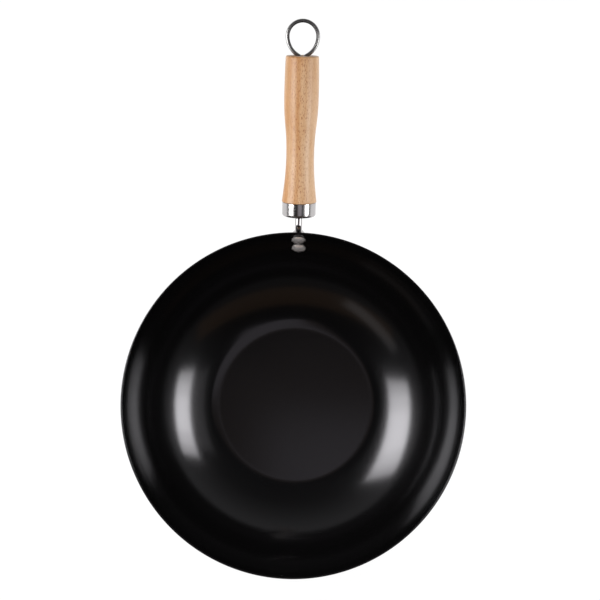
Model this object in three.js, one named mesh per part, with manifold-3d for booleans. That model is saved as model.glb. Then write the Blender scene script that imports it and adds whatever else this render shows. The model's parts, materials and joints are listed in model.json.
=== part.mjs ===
// Flat-bottomed wok: pressed steel bowl, riveted rod handle, turned wooden grip and a hanging eye.
// Units are millimetres. +Z is up, the handle points along +Y and the base stands on z = 0.
import * as THREE from 'three';
import { mergeVertices } from 'three/addons/utils/BufferGeometryUtils.js';
import Module from 'manifold-3d';

const wasm = await Module();
wasm.setup();

// Bowl: outside sizes, with the wall as one arc that meets the base bend and ends at the rim
const RIM_RADIUS = 150;
const BOWL_HEIGHT = 80;
const STEEL = 1.5;
const BASE_FLAT_RADIUS = 68.7;
const BASE_BEND_RADIUS = 34.5;
const WALL_RADIUS = 107;

// Gap left between pieces that seat on one another
const SEAT_GAP = 0.3;

// Rivets, placed by the distance along the outside of the wall below the rim
const RIVET_DROP = 12;
const RIVET_PITCH = 15;
const RIVET_SHANK_RADIUS = 2.5;
const RIVET_HEAD_RADIUS = 6.1;
const RIVET_HEAD_HEIGHT = 2.6;
const RIVET_TAIL_RADIUS = 4.2;
const RIVET_TAIL_HEIGHT = 1.8;

// Handle line: where the grip's ferrule starts, outside the rim and above it
const HANDLE_TILT = THREE.MathUtils.degToRad(18);
const FERRULE_REACH = 14;
const FERRULE_LIFT = 3;

// Handle rod, its flattened riveting paddle and its collar
const ROD_RADIUS = 3.1;
const ROD_BEND_RADIUS = 7;
const PADDLE_THICKNESS = 2.5;
const PADDLE_HALF_WIDTH = 8.5;
const PADDLE_SHOULDER = 4;
const COLLAR_RADIUS = 4.6;
const COLLAR_HEIGHT = 1.4;
const THREAD_RADIUS = 2.9;
const THREAD_LENGTH = 7;
const THREAD_CHAMFER = 0.8;

// Ferrule: drawn steel cup over the end of the grip
const FERRULE_RADIUS = 14.7;
const FERRULE_LENGTH = 12.6;
const FERRULE_SHEET = 0.8;
const FERRULE_CORNER = 2.6;

// Grip: turned outline, from the ferrule to the eye end
const GRIP_LENGTH = 125.5;
const GRIP_SHOULDER_RADIUS = 15.1;
const GRIP_WAIST_RADIUS = 12.05;
const GRIP_WAIST_AT = 40;
const GRIP_SWELL_RADIUS = 14.85;
const GRIP_SWELL_AT = 92;
const GRIP_END_RADIUS = 14.2;
const GRIP_END_ROUND = 1.4;
const FLARE_RUN = 14;
const FLARE_FALL = 1.75;
const WAIST_RUN = 14;
const SWELL_RUN = 26;
const END_FALL = 0.35;
const END_RUN = 9;

// Eye: counterbore in the grip, clamp washer, threaded sleeve and the wire loop brazed into it
const COUNTERBORE_RADIUS = 6.1;
const COUNTERBORE_DEPTH = 26;
const COUNTERBORE_CHAMFER = 0.9;
const WASHER_THICKNESS = 1.2;
const SLEEVE_LENGTH = 22;
const WIRE_RADIUS = 1.65;
const LOOP_RADIUS = 13;
const LOOP_HEIGHT = 31;
const LEG_SPACING = 3.9;
const LEG_INSERT = 11;
const LEG_BEND_RADIUS = 2.6;

// Mesh fineness: facets round a turned piece, steps along its curves, and the welding distance
const BOWL_SEGMENTS = 80;
const TURNED_SEGMENTS = 28;
const SMALL_SEGMENTS = 24;
const WIRE_SIDES = 12;
const WALL_STEPS = 12;
const GRIP_STEPS = 7;
const DOME_STEPS = 6;
const CORNER_STEPS = 4;
const ROD_BEND_STEPS = 12;
const ROD_STEPS = 16;
const EYE_STEPS = 12;
const LOOP_STEPS = 72;
const WELD = 1e-4;

// Points along an arc in a plane, from one angle to another.
function arc(centre, radius, from, to, steps) {
  const points = [];
  for (let i = 0; i <= steps; i += 1) {
    const angle = from + ((to - from) * i) / steps;
    points.push([centre[0] + radius * Math.cos(angle), centre[1] + radius * Math.sin(angle)]);
  }
  return points;
}

// Turns an outline of [radius, height] points about the Z axis.
function turned(outline, segments) {
  const points = outline.map(([radius, height]) => new THREE.Vector2(radius, height));
  const geometry = new THREE.LatheGeometry(points, segments);
  geometry.rotateX(Math.PI / 2);
  return geometry;
}

// The same, for an outline that closes on itself.
function turnedRing(outline, segments) {
  return turned([...outline, outline[0]], segments);
}

// Round bar along a curve, cut square at both ends.
function bar(points, radius, steps) {
  const path = new THREE.CatmullRomCurve3(points.map(([x, y, z]) => new THREE.Vector3(x, y, z)));
  const section = new THREE.Shape();
  section.absarc(0, 0, radius, 0, 2 * Math.PI, false);
  return new THREE.ExtrudeGeometry(section, { steps, curveSegments: WIRE_SIDES / 2, extrudePath: path });
}

// Closed solid for joining and cutting.
function solid(geometry) {
  const bare = geometry.clone();
  bare.deleteAttribute('normal');
  bare.deleteAttribute('uv');
  const welded = mergeVertices(bare, WELD);
  const corners = welded.index.array;
  const triangles = [];
  for (let i = 0; i < corners.length; i += 3) {
    const [a, b, c] = [corners[i], corners[i + 1], corners[i + 2]];
    if (a !== b && b !== c && c !== a) {
      triangles.push(a, b, c);
    }
  }
  const mesh = new wasm.Mesh({
    numProp: 3,
    vertProperties: new Float32Array(welded.attributes.position.array),
    triVerts: new Uint32Array(triangles),
  });
  return new wasm.Manifold(mesh);
}

// Geometry of a finished solid.
function geometryOf(body) {
  const mesh = body.getMesh();
  const geometry = new THREE.BufferGeometry();
  geometry.setAttribute('position', new THREE.BufferAttribute(mesh.vertProperties, mesh.numProp));
  geometry.setIndex(new THREE.BufferAttribute(mesh.triVerts, 1));
  geometry.computeVertexNormals();
  return geometry;
}

// Named sub-part with its own material.
function piece(name, geometry, color, roughness, metalness) {
  const material = new THREE.MeshStandardMaterial({ color, roughness, metalness });
  const mesh = new THREE.Mesh(geometry, material);
  mesh.name = name;
  return mesh;
}

// Centre of the wall arc: it passes through the rim and touches the base bend from outside.
const bendCentre = new THREE.Vector2(BASE_FLAT_RADIUS, BASE_BEND_RADIUS);
const rimPoint = new THREE.Vector2(RIM_RADIUS, BOWL_HEIGHT);
const centreToBend = WALL_RADIUS - BASE_BEND_RADIUS;
const span = rimPoint.clone().sub(bendCentre);
const along = (centreToBend ** 2 - WALL_RADIUS ** 2 + span.lengthSq()) / (2 * span.length());
const across = Math.sqrt(centreToBend ** 2 - along ** 2);
const spanDirection = span.clone().normalize();
const wallCentre = new THREE.Vector2(
  bendCentre.x + along * spanDirection.x - across * spanDirection.y,
  bendCentre.y + along * spanDirection.y + across * spanDirection.x,
);

// Slopes of the wall, measured from level: at the base bend and at the rim.
const bendSlope = Math.atan2(bendCentre.x - wallCentre.x, wallCentre.y - bendCentre.y);
const rimSlope = Math.atan2(rimPoint.x - wallCentre.x, wallCentre.y - rimPoint.y);

// A slope of zero points straight down from an arc's centre.
const DOWN = -Math.PI / 2;

// Point of the wall arc at a slope and at a distance outside the wall's outer face.
function wallPoint(slope, outside) {
  const reach = WALL_RADIUS + outside;
  return [wallCentre.x + reach * Math.sin(slope), wallCentre.y - reach * Math.cos(slope)];
}

// Frame on the wall at a slope: local X across, local Y up the wall, local Z into the bowl.
function wallFrame(slope, outside) {
  const [y, z] = wallPoint(slope, outside);
  const frame = new THREE.Matrix4().makeBasis(
    new THREE.Vector3(1, 0, 0),
    new THREE.Vector3(0, Math.cos(slope), Math.sin(slope)),
    new THREE.Vector3(0, -Math.sin(slope), Math.cos(slope)),
  );
  return frame.setPosition(0, y, z);
}

const upperSlope = rimSlope - RIVET_DROP / WALL_RADIUS;
const lowerSlope = upperSlope - RIVET_PITCH / WALL_RADIUS;

// Frame of the handle: origin at the underside of the ferrule, local Z along the grip.
const handleFrame = new THREE.Matrix4()
  .makeRotationX(HANDLE_TILT - Math.PI / 2)
  .setPosition(0, RIM_RADIUS + FERRULE_REACH, BOWL_HEIGHT + FERRULE_LIFT);

// Hole through the wall and the paddle for one rivet.
function rivetHole(slope) {
  const length = 2 * (STEEL + PADDLE_THICKNESS + RIVET_HEAD_HEIGHT);
  const hole = new THREE.CylinderGeometry(
    RIVET_SHANK_RADIUS + SEAT_GAP,
    RIVET_SHANK_RADIUS + SEAT_GAP,
    length,
    SMALL_SEGMENTS,
  );
  hole.rotateX(Math.PI / 2);
  hole.applyMatrix4(wallFrame(slope, 0));
  return solid(hole);
}

// Bowl with a rounded rim edge and two rivet holes.
function makeBowl() {
  const edgeRadius = STEEL / 2;
  const edge = wallPoint(rimSlope, -edgeRadius);
  const wall = [wallCentre.x, wallCentre.y];
  const bend = [bendCentre.x, bendCentre.y];
  const outline = [
    [0, 0],
    ...arc(bend, BASE_BEND_RADIUS, DOWN, DOWN + bendSlope, CORNER_STEPS),
    ...arc(wall, WALL_RADIUS, DOWN + bendSlope, DOWN + rimSlope, WALL_STEPS).slice(1),
    ...arc(edge, edgeRadius, DOWN + rimSlope, DOWN + rimSlope + Math.PI, CORNER_STEPS).slice(1),
    ...arc(wall, WALL_RADIUS - STEEL, DOWN + rimSlope, DOWN + bendSlope, WALL_STEPS).slice(1),
    ...arc(bend, BASE_BEND_RADIUS - STEEL, DOWN + bendSlope, DOWN, CORNER_STEPS).slice(1),
    [0, STEEL],
  ];
  const shell = solid(turned(outline, BOWL_SEGMENTS));
  return geometryOf(shell.subtract(rivetHole(upperSlope)).subtract(rivetHole(lowerSlope)));
}

// Rivet: domed head that rests by its edge on the hollow wall, shank, and upset tail outside.
function makeRivet(slope) {
  const hollowRise = RIVET_HEAD_RADIUS ** 2 / (2 * (WALL_RADIUS - STEEL));
  const headUnder = STEEL + hollowRise + SEAT_GAP;
  const tailFace = -(SEAT_GAP + PADDLE_THICKNESS + SEAT_GAP);
  const domeRadius = (RIVET_HEAD_RADIUS ** 2 + RIVET_HEAD_HEIGHT ** 2) / (2 * RIVET_HEAD_HEIGHT);
  const domeCentre = [0, headUnder + RIVET_HEAD_HEIGHT - domeRadius];
  const domeEdge = Math.asin((headUnder - domeCentre[1]) / domeRadius);
  const tailRadius = (RIVET_TAIL_RADIUS ** 2 + RIVET_TAIL_HEIGHT ** 2) / (2 * RIVET_TAIL_HEIGHT);
  const tailCentre = [0, tailFace - RIVET_TAIL_HEIGHT + tailRadius];
  const tailEdge = Math.asin((tailFace - tailCentre[1]) / tailRadius);
  const outline = [
    ...arc(tailCentre, tailRadius, DOWN, tailEdge, DOME_STEPS),
    [RIVET_SHANK_RADIUS, tailFace],
    [RIVET_SHANK_RADIUS, headUnder],
    ...arc(domeCentre, domeRadius, domeEdge, Math.PI / 2, DOME_STEPS),
  ];
  const geometry = turned(outline, SMALL_SEGMENTS);
  geometry.applyMatrix4(wallFrame(slope, 0));
  return geometry;
}

// Slope at which the rod leaves the wall so that its bend ends on the handle line.
const rodOutside = SEAT_GAP + ROD_RADIUS;
const rodReach = WALL_RADIUS + rodOutside + ROD_BEND_RADIUS;
const handleOrigin = new THREE.Vector3().setFromMatrixPosition(handleFrame);
const lineOffset =
  (handleOrigin.y - wallCentre.x) * Math.sin(HANDLE_TILT) +
  (wallCentre.y - handleOrigin.z) * Math.cos(HANDLE_TILT);
const leaveSlope = HANDLE_TILT + Math.acos((ROD_BEND_RADIUS + lineOffset) / rodReach);

// Where the grip starts and ends, and where its counterbore bottoms, along the handle.
const gripStart = FERRULE_LENGTH + SEAT_GAP;
const gripEnd = gripStart + GRIP_LENGTH;
const counterboreFloor = gripEnd - COUNTERBORE_DEPTH;
const washerStart = counterboreFloor + SEAT_GAP;
const sleeveStart = washerStart + WASHER_THICKNESS + SEAT_GAP;
const sleeveEnd = sleeveStart + SLEEVE_LENGTH;
const threadEnd = sleeveStart + THREAD_LENGTH;
const boreRadius = ROD_RADIUS + SEAT_GAP;

// Handle rod: paddle shaped to the wall, bend behind the rim, collar and straight shank.
function makeRod() {
  const middleSlope = (upperSlope + lowerSlope) / 2;
  const neck = (leaveSlope - middleSlope) * WALL_RADIUS;
  const outline = new THREE.Shape();
  outline.moveTo(-PADDLE_HALF_WIDTH, -RIVET_PITCH / 2);
  outline.absarc(0, -RIVET_PITCH / 2, PADDLE_HALF_WIDTH, Math.PI, 2 * Math.PI, false);
  outline.lineTo(PADDLE_HALF_WIDTH, RIVET_PITCH / 2);
  outline.bezierCurveTo(
    PADDLE_HALF_WIDTH, RIVET_PITCH / 2 + PADDLE_SHOULDER,
    ROD_RADIUS, neck - PADDLE_SHOULDER,
    ROD_RADIUS, neck,
  );
  outline.lineTo(-ROD_RADIUS, neck);
  outline.bezierCurveTo(
    -ROD_RADIUS, neck - PADDLE_SHOULDER,
    -PADDLE_HALF_WIDTH, RIVET_PITCH / 2 + PADDLE_SHOULDER,
    -PADDLE_HALF_WIDTH, RIVET_PITCH / 2,
  );
  const blank = new THREE.ExtrudeGeometry(outline, {
    depth: 2 * PADDLE_HALF_WIDTH,
    bevelEnabled: false,
    curveSegments: WIRE_SIDES,
  });
  blank.translate(0, 0, -PADDLE_HALF_WIDTH);
  blank.applyMatrix4(wallFrame(middleSlope, 0));
  const wall = [wallCentre.x, wallCentre.y];
  const inner = WALL_RADIUS + SEAT_GAP;
  const band = turnedRing(
    [
      ...arc(wall, inner + PADDLE_THICKNESS, DOWN + bendSlope, DOWN + rimSlope, WALL_STEPS),
      ...arc(wall, inner, DOWN + rimSlope, DOWN + bendSlope, WALL_STEPS),
    ],
    BOWL_SEGMENTS,
  );
  const paddle = solid(blank)
    .intersect(solid(band))
    .subtract(rivetHole(upperSlope))
    .subtract(rivetHole(lowerSlope));

  const lift = wallPoint(leaveSlope, rodOutside);
  const turnCentre = wallPoint(leaveSlope, rodOutside + ROD_BEND_RADIUS);
  const up = Math.PI / 2;
  const bend = arc(turnCentre, ROD_BEND_RADIUS, up + leaveSlope, up + HANDLE_TILT, ROD_BEND_STEPS);
  const [bendEndY, bendEndZ] = bend.at(-1);
  const shankRun = (handleOrigin.y - bendEndY) / Math.cos(HANDLE_TILT);
  const join = [
    bendEndY + (shankRun / 2) * Math.cos(HANDLE_TILT),
    bendEndZ + (shankRun / 2) * Math.sin(HANDLE_TILT),
  ];
  const curved = bar([...bend, join].map(([y, z]) => [0, y, z]), ROD_RADIUS, ROD_STEPS);
  const root = new THREE.SphereGeometry(ROD_RADIUS, WIRE_SIDES, WIRE_SIDES / 2);
  root.translate(0, lift[0], lift[1]);

  const collarTop = -SEAT_GAP;
  const shank = turned(
    [
      [0, -shankRun],
      [ROD_RADIUS, -shankRun],
      [ROD_RADIUS, collarTop - COLLAR_HEIGHT],
      [COLLAR_RADIUS, collarTop - COLLAR_HEIGHT],
      [COLLAR_RADIUS, collarTop],
      [ROD_RADIUS, collarTop],
      [ROD_RADIUS, sleeveStart],
      [THREAD_RADIUS, sleeveStart],
      [THREAD_RADIUS, threadEnd - THREAD_CHAMFER],
      [THREAD_RADIUS - THREAD_CHAMFER, threadEnd],
      [0, threadEnd],
    ],
    SMALL_SEGMENTS,
  );
  shank.applyMatrix4(handleFrame);
  return geometryOf(paddle.add(solid(root)).add(solid(curved)).add(solid(shank)));
}

// Ferrule: cup with a rounded bottom edge and a hole for the rod.
function makeFerrule() {
  const cornerCentre = [FERRULE_RADIUS - FERRULE_CORNER, FERRULE_CORNER];
  const outline = [
    [boreRadius, 0],
    ...arc(cornerCentre, FERRULE_CORNER, DOWN, 0, CORNER_STEPS),
    [FERRULE_RADIUS, FERRULE_LENGTH],
    [FERRULE_RADIUS - FERRULE_SHEET, FERRULE_LENGTH],
    ...arc(cornerCentre, FERRULE_CORNER - FERRULE_SHEET, 0, DOWN, CORNER_STEPS),
    [boreRadius, FERRULE_SHEET],
  ];
  return turnedRing(outline, TURNED_SEGMENTS);
}

// Grip: turned outline with a tenon in the ferrule, a rod bore and a counterbore for the eye.
function makeGrip() {
  const side = new THREE.Path();
  const waistAt = gripStart + GRIP_WAIST_AT;
  const swellAt = gripStart + GRIP_SWELL_AT;
  const roundAt = gripEnd - GRIP_END_ROUND;
  side.moveTo(GRIP_SHOULDER_RADIUS, gripStart);
  side.bezierCurveTo(
    GRIP_SHOULDER_RADIUS - FLARE_FALL, gripStart + FLARE_RUN,
    GRIP_WAIST_RADIUS, waistAt - WAIST_RUN,
    GRIP_WAIST_RADIUS, waistAt,
  );
  side.bezierCurveTo(
    GRIP_WAIST_RADIUS, waistAt + SWELL_RUN,
    GRIP_SWELL_RADIUS, swellAt - SWELL_RUN,
    GRIP_SWELL_RADIUS, swellAt,
  );
  side.bezierCurveTo(
    GRIP_SWELL_RADIUS, swellAt + SWELL_RUN / 2,
    GRIP_END_RADIUS + END_FALL, roundAt - END_RUN,
    GRIP_END_RADIUS, roundAt,
  );
  const tenonRadius = FERRULE_RADIUS - FERRULE_SHEET - SEAT_GAP;
  const tenonEnd = FERRULE_SHEET + SEAT_GAP;
  const tenonRound = FERRULE_CORNER - FERRULE_SHEET;
  const tenonCorner = [tenonRadius - tenonRound, tenonEnd + tenonRound];
  const endCentre = [GRIP_END_RADIUS - GRIP_END_ROUND, roundAt];
  const outline = [
    [boreRadius, tenonEnd],
    ...arc(tenonCorner, tenonRound, DOWN, 0, CORNER_STEPS),
    [tenonRadius, gripStart],
    ...side.getPoints(GRIP_STEPS).map((point) => [point.x, point.y]),
    ...arc(endCentre, GRIP_END_ROUND, 0, Math.PI / 2, CORNER_STEPS).slice(1),
    [COUNTERBORE_RADIUS + COUNTERBORE_CHAMFER, gripEnd],
    [COUNTERBORE_RADIUS, gripEnd - COUNTERBORE_CHAMFER],
    [COUNTERBORE_RADIUS, counterboreFloor],
    [boreRadius, counterboreFloor],
  ];
  return turnedRing(outline, TURNED_SEGMENTS);
}

// Washer on the floor of the counterbore.
function makeWasher() {
  const outer = COUNTERBORE_RADIUS - SEAT_GAP;
  const outline = [
    [boreRadius, washerStart],
    [outer, washerStart],
    [outer, washerStart + WASHER_THICKNESS],
    [boreRadius, washerStart + WASHER_THICKNESS],
  ];
  return turnedRing(outline, SMALL_SEGMENTS);
}

// Sleeve: threaded on the rod at one end, holding the legs of the loop at the other.
function makeSleeve() {
  const outer = COUNTERBORE_RADIUS - SEAT_GAP;
  const threadBore = THREAD_RADIUS + SEAT_GAP;
  const legBore = LEG_SPACING / 2 + WIRE_RADIUS + SEAT_GAP;
  const legFloor = sleeveEnd - LEG_INSERT - SEAT_GAP;
  const outline = [
    [threadBore, sleeveStart],
    [outer, sleeveStart],
    [outer, sleeveEnd],
    [legBore, sleeveEnd],
    [legBore, legFloor],
    [threadBore, legFloor],
  ];
  return turnedRing(outline, SMALL_SEGMENTS);
}

// Loop: one wire, two parallel legs in the sleeve that bend apart and swing out to a round eye.
function makeLoop() {
  const half = LEG_SPACING / 2;
  const eyeHeight = gripEnd + LOOP_HEIGHT - WIRE_RADIUS - LOOP_RADIUS;
  const rise = eyeHeight - sleeveEnd;
  const spread = 2 * Math.atan2(LOOP_RADIUS - half, rise);
  const sideRadius = rise / Math.sin(spread) - LEG_BEND_RADIUS;
  const bendMiddle = [half + LEG_BEND_RADIUS, sleeveEnd];
  const legBend = arc(bendMiddle, LEG_BEND_RADIUS, Math.PI, Math.PI - spread, CORNER_STEPS);
  const side = arc([LOOP_RADIUS - sideRadius, eyeHeight], sideRadius, -spread, 0, EYE_STEPS).slice(1);
  const eye = arc([0, eyeHeight], LOOP_RADIUS, 0, Math.PI / 2, EYE_STEPS).slice(1);
  const legFoot = sleeveEnd - LEG_INSERT;
  const right = [[half, legFoot], [half, legFoot + LEG_INSERT / 2], ...legBend, ...side, ...eye];
  const left = right.slice(0, -1).reverse().map(([x, z]) => [-x, z]);
  return bar([...right, ...left].map(([x, z]) => [x, 0, z]), WIRE_RADIUS, LOOP_STEPS);
}

const wok = new THREE.Group();
wok.name = 'wok';
wok.add(piece('bowl', makeBowl(), 0x101012, 0.35, 0));
wok.add(piece('upper_rivet', makeRivet(upperSlope), 0xb9b4b0, 0.35, 1));
wok.add(piece('lower_rivet', makeRivet(lowerSlope), 0xb9b4b0, 0.35, 1));
wok.add(piece('handle_rod', makeRod(), 0xc9c9cb, 0.2, 1));

const handle = new THREE.Group();
handle.name = 'handle';
handle.applyMatrix4(handleFrame);
handle.add(piece('ferrule', makeFerrule(), 0xcfcfd1, 0.18, 1));
handle.add(piece('wooden_grip', makeGrip(), 0xc8a173, 0.55, 0));
handle.add(piece('clamp_washer', makeWasher(), 0xa9abad, 0.4, 1));
handle.add(piece('eye_sleeve', makeSleeve(), 0xa9abad, 0.4, 1));
handle.add(piece('hanging_loop', makeLoop(), 0xcfcfd1, 0.18, 1));
wok.add(handle);

export default wok;
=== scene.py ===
import json
import math
from typing import NamedTuple

import bmesh
import bpy
from bpy.props import FloatProperty, FloatVectorProperty, PointerProperty
from mathutils import Euler, Matrix, Quaternion, Vector
from mathutils.geometry import interpolate_bezier

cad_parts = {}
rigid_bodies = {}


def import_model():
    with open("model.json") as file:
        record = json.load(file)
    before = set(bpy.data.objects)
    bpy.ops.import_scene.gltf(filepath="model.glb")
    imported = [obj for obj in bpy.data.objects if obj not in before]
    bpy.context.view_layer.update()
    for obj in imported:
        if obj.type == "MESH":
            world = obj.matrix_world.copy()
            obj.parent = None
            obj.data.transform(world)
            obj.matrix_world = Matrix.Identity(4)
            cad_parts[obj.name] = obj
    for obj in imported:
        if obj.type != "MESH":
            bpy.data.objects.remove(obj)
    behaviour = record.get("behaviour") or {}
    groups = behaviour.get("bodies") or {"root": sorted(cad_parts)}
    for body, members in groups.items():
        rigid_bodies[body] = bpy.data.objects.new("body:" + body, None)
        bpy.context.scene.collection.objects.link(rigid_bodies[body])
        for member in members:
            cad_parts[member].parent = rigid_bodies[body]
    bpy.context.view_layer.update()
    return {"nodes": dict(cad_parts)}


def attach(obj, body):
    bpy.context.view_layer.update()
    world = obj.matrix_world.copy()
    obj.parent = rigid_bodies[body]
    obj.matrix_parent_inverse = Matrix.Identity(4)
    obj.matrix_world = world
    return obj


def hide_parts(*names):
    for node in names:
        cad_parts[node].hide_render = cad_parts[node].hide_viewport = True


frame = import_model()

bl_info = {
    "name": "Wok",
    "version": (1, 0, 0),
    "blender": (4, 5, 0),
    "location": "3D View > Sidebar > Wok",
    "description": "Dresses the packed wok with its bowl, riveted rod handle, wooden grip and hanging eye",
    "category": "Object",
}

# Mesh fineness: facets round a piece, steps along a curve, the weld in metres and the angle of a sharp edge
BOWL_FACETS = 256
TURNED_FACETS = 160
SMALL_FACETS = 96
WIRE_FACETS = 40
WALL_STEPS = 64
CURVE_STEPS = 24
CORNER_STEPS = 8
WELD = 1e-6
SHARP_ANGLE = math.radians(32)

# Quarter of a turn
QUARTER = math.pi / 2

# Forged paddle: how far its corners fill out, and the share of its thickness at the tip of its foot
CORNER_FILL = 0.72
FOOT_EDGE = 0.55

# Axes that a pattern keeps: those round the upright or the grip, and those in the loop's plane
ROUND_AXES = (1.0, 1.0, 0.0)
LOOP_AXES = (1.0, 0.0, 1.0)

# Range that most of a noise lies in
NOISE_LOW = 0.3
NOISE_HIGH = 0.7

# Cooking coat: ripples of the spray, in radians for each metre from the middle, and their part of the relief
RIPPLE_RATE = 2600.0
RIPPLE_PART = 0.06

# Metals: the painted shade in their low spots, as the share of the colour left there, the depth of their
# relief in metres, and the roughness inside the eye
METAL_PAINTED_SHADE = 0.94
METAL_RELIEF = 0.0002
DULL_ROUGHNESS = 0.4

# Beech: how often each pattern repeats in a metre, across the grip both ways and along it
RING_DRIFT = (60.0, 60.0, 7.0)
RING_BANDS = (230.0, 120.0, 3.0)
FIBRES = (1500.0, 1500.0, 55.0)
PORES = (900.0, 900.0, 400.0)
RAY_DASHES = (1100.0, 1100.0, 360.0)

# Beech: parts of the bands and the fibres in its grain, and how deep a fleck lies beside the fibres
BAND_PART = 0.55
FIBRE_PART = 0.45
FLECK_DEPTH = 0.25

# Colours of the light: the soft boxes, the studio's warm front, the cool overhead strip and its warmer edges
PLAIN = (1.0, 1.0, 1.0)
WARM = (1.0, 0.56, 0.25)
COOL = (0.99, 0.93, 1.0)
FAINT_WARM = (1.0, 0.78, 0.70)

# Points that the lights are aimed at, in metres
BOWL_MIDDLE = Vector((0.0, 0.0, 0.03))
GRIP_MIDDLE = Vector((0.0, 0.25, 0.12))

# Light of the room from level to overhead: the sine of the height, and the colour there
ROOM_LIGHT = (
    (0.0, (0.35, 0.35, 0.36)),
    (0.19, (0.32, 0.32, 0.32)),
    (0.39, (0.21, 0.21, 0.21)),
    (0.56, (0.12, 0.12, 0.12)),
    (0.70, (0.06, 0.06, 0.06)),
    (0.85, (0.04, 0.04, 0.042)),
)

# Camera: the width of its sensor in millimetres, and how far it sees in metres
SENSOR_WIDTH = 36.0
VIEW_DEPTH = 100.0


class BoxPanel(NamedTuple):
    """One panel of a soft box, as shares of the whole box."""

    place: float
    width: float
    radiance: float


# A soft box is brighter towards its middle, so five panels side by side make it up
BOX_PANELS = (
    BoxPanel(place=-0.43, width=0.14, radiance=0.54),
    BoxPanel(place=-0.28, width=0.16, radiance=0.78),
    BoxPanel(place=0.0, width=0.40, radiance=1.0),
    BoxPanel(place=0.28, width=0.16, radiance=0.78),
    BoxPanel(place=0.43, width=0.14, radiance=0.54),
)


class MetalFinish(NamedTuple):
    """Finish of a metal: the name of its colour, its marks, its range of roughness and its bump."""

    colour: str
    patch_scale: float
    fine_scale: float
    lowest: float
    highest: float
    bump: float
    metallic: float = 1.0


METAL_FINISHES = {
    "bright_plate": MetalFinish(
        colour="plate", patch_scale=90.0, fine_scale=2500.0, lowest=0.05, highest=0.08, bump=0.01
    ),
    "drawn_plate": MetalFinish(
        colour="plate", patch_scale=40.0, fine_scale=2500.0, lowest=0.18, highest=0.21, bump=0.005
    ),
    "satin_rivet": MetalFinish(
        colour="rivet",
        patch_scale=260.0,
        fine_scale=520.0,
        lowest=0.14,
        highest=0.26,
        bump=0.6,
        metallic=0.76,
    ),
    "zinc_plate": MetalFinish(
        colour="zinc", patch_scale=180.0, fine_scale=2200.0, lowest=0.3, highest=0.45, bump=0.1
    ),
}


def metres(name, description, default):
    """Property for a size in metres."""
    return FloatProperty(
        name=name, description=description, default=default, precision=5, subtype="DISTANCE", unit="LENGTH"
    )


def degrees(name, description, default):
    """Property for an angle, given in degrees and kept in radians."""
    return FloatProperty(
        name=name, description=description, default=math.radians(default), subtype="ANGLE", unit="ROTATION"
    )


def amount(name, description, default):
    """Property for a plain number."""
    return FloatProperty(name=name, description=description, default=default, precision=4)


def colour(name, description, default):
    """Property for a linear colour."""
    return FloatVectorProperty(
        name=name, description=description, default=default, size=3, min=0.0, max=1.0, subtype="COLOR"
    )


def place(name, description, default):
    """Property for a point in metres."""
    return FloatVectorProperty(
        name=name,
        description=description,
        default=default,
        size=3,
        precision=4,
        subtype="XYZ",
        unit="LENGTH",
    )


class BowlSizes(bpy.types.PropertyGroup):
    """Sizes of the pressed bowl, measured on its outside."""

    rim_radius: metres("Rim radius", "Radius of the wall at its top edge", 0.14998)
    height: metres("Height", "Height of the wall's outer face above the base", 0.080)
    steel: metres("Steel", "Thickness of the coated steel", 0.0015)
    base_flat_radius: metres("Base flat radius", "Radius of the flat base", 0.0687)
    base_bend_radius: metres("Base bend radius", "Radius of the bend between base and wall", 0.0345)
    wall_radius: metres("Wall radius", "Radius of the wall's arc", 0.107)
    seat_gap: metres("Seat gap", "Gap between pieces that seat on one another", 0.0003)


class RivetSizes(bpy.types.PropertyGroup):
    """Sizes and places of the two handle rivets."""

    drop: metres("Drop", "Distance of the upper rivet below the rim, along the wall", 0.012)
    pitch: metres("Pitch", "Distance between the rivets, along the wall", 0.015)
    shank_radius: metres("Shank radius", "Radius of the shank", 0.0025)
    head_radius: metres("Head radius", "Radius of the head inside the bowl", 0.0061)
    head_height: metres("Head height", "Height of the head", 0.0026)
    head_edge: metres("Head edge", "Rounding of the head's brim", 0.0004)
    tail_radius: metres("Tail radius", "Radius of the upset tail outside", 0.0042)
    tail_height: metres("Tail height", "Height of the upset tail", 0.0018)


class RodSizes(bpy.types.PropertyGroup):
    """Sizes of the handle rod and of the line that it follows."""

    tilt: degrees("Tilt", "Rise of the handle above level", 18.0)
    ferrule_reach: metres("Ferrule reach", "Distance of the ferrule outside the rim", 0.014)
    ferrule_lift: metres("Ferrule lift", "Height of the ferrule's underside above the rim", 0.003)
    radius: metres("Radius", "Radius of the round rod", 0.0031)
    bend_radius: metres("Bend radius", "Radius of the bend behind the rim", 0.007)
    paddle_thickness: metres("Paddle thickness", "Thickness of the flattened end", 0.0025)
    paddle_half_width: metres("Paddle half width", "Half the width of the flattened end", 0.0085)
    collar_radius: metres("Collar radius", "Radius of the collar under the ferrule", 0.0046)
    collar_height: metres("Collar height", "Height of the collar", 0.0014)
    thread_radius: metres("Thread radius", "Radius of the rod's far end", 0.0029)
    thread_length: metres("Thread length", "Length of the rod's far end in the sleeve", 0.007)


class FerruleSizes(bpy.types.PropertyGroup):
    """Sizes of the drawn steel cup on the grip."""

    radius: metres("Radius", "Outer radius", 0.0147)
    height: metres("Height", "Length along the grip", 0.0126)
    sheet: metres("Sheet", "Thickness of the sheet", 0.0008)
    corner: metres("Corner", "Radius of the rounded bottom edge", 0.0026)
    lip: metres("Lip", "Rounding of the open edge", 0.00025)


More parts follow.
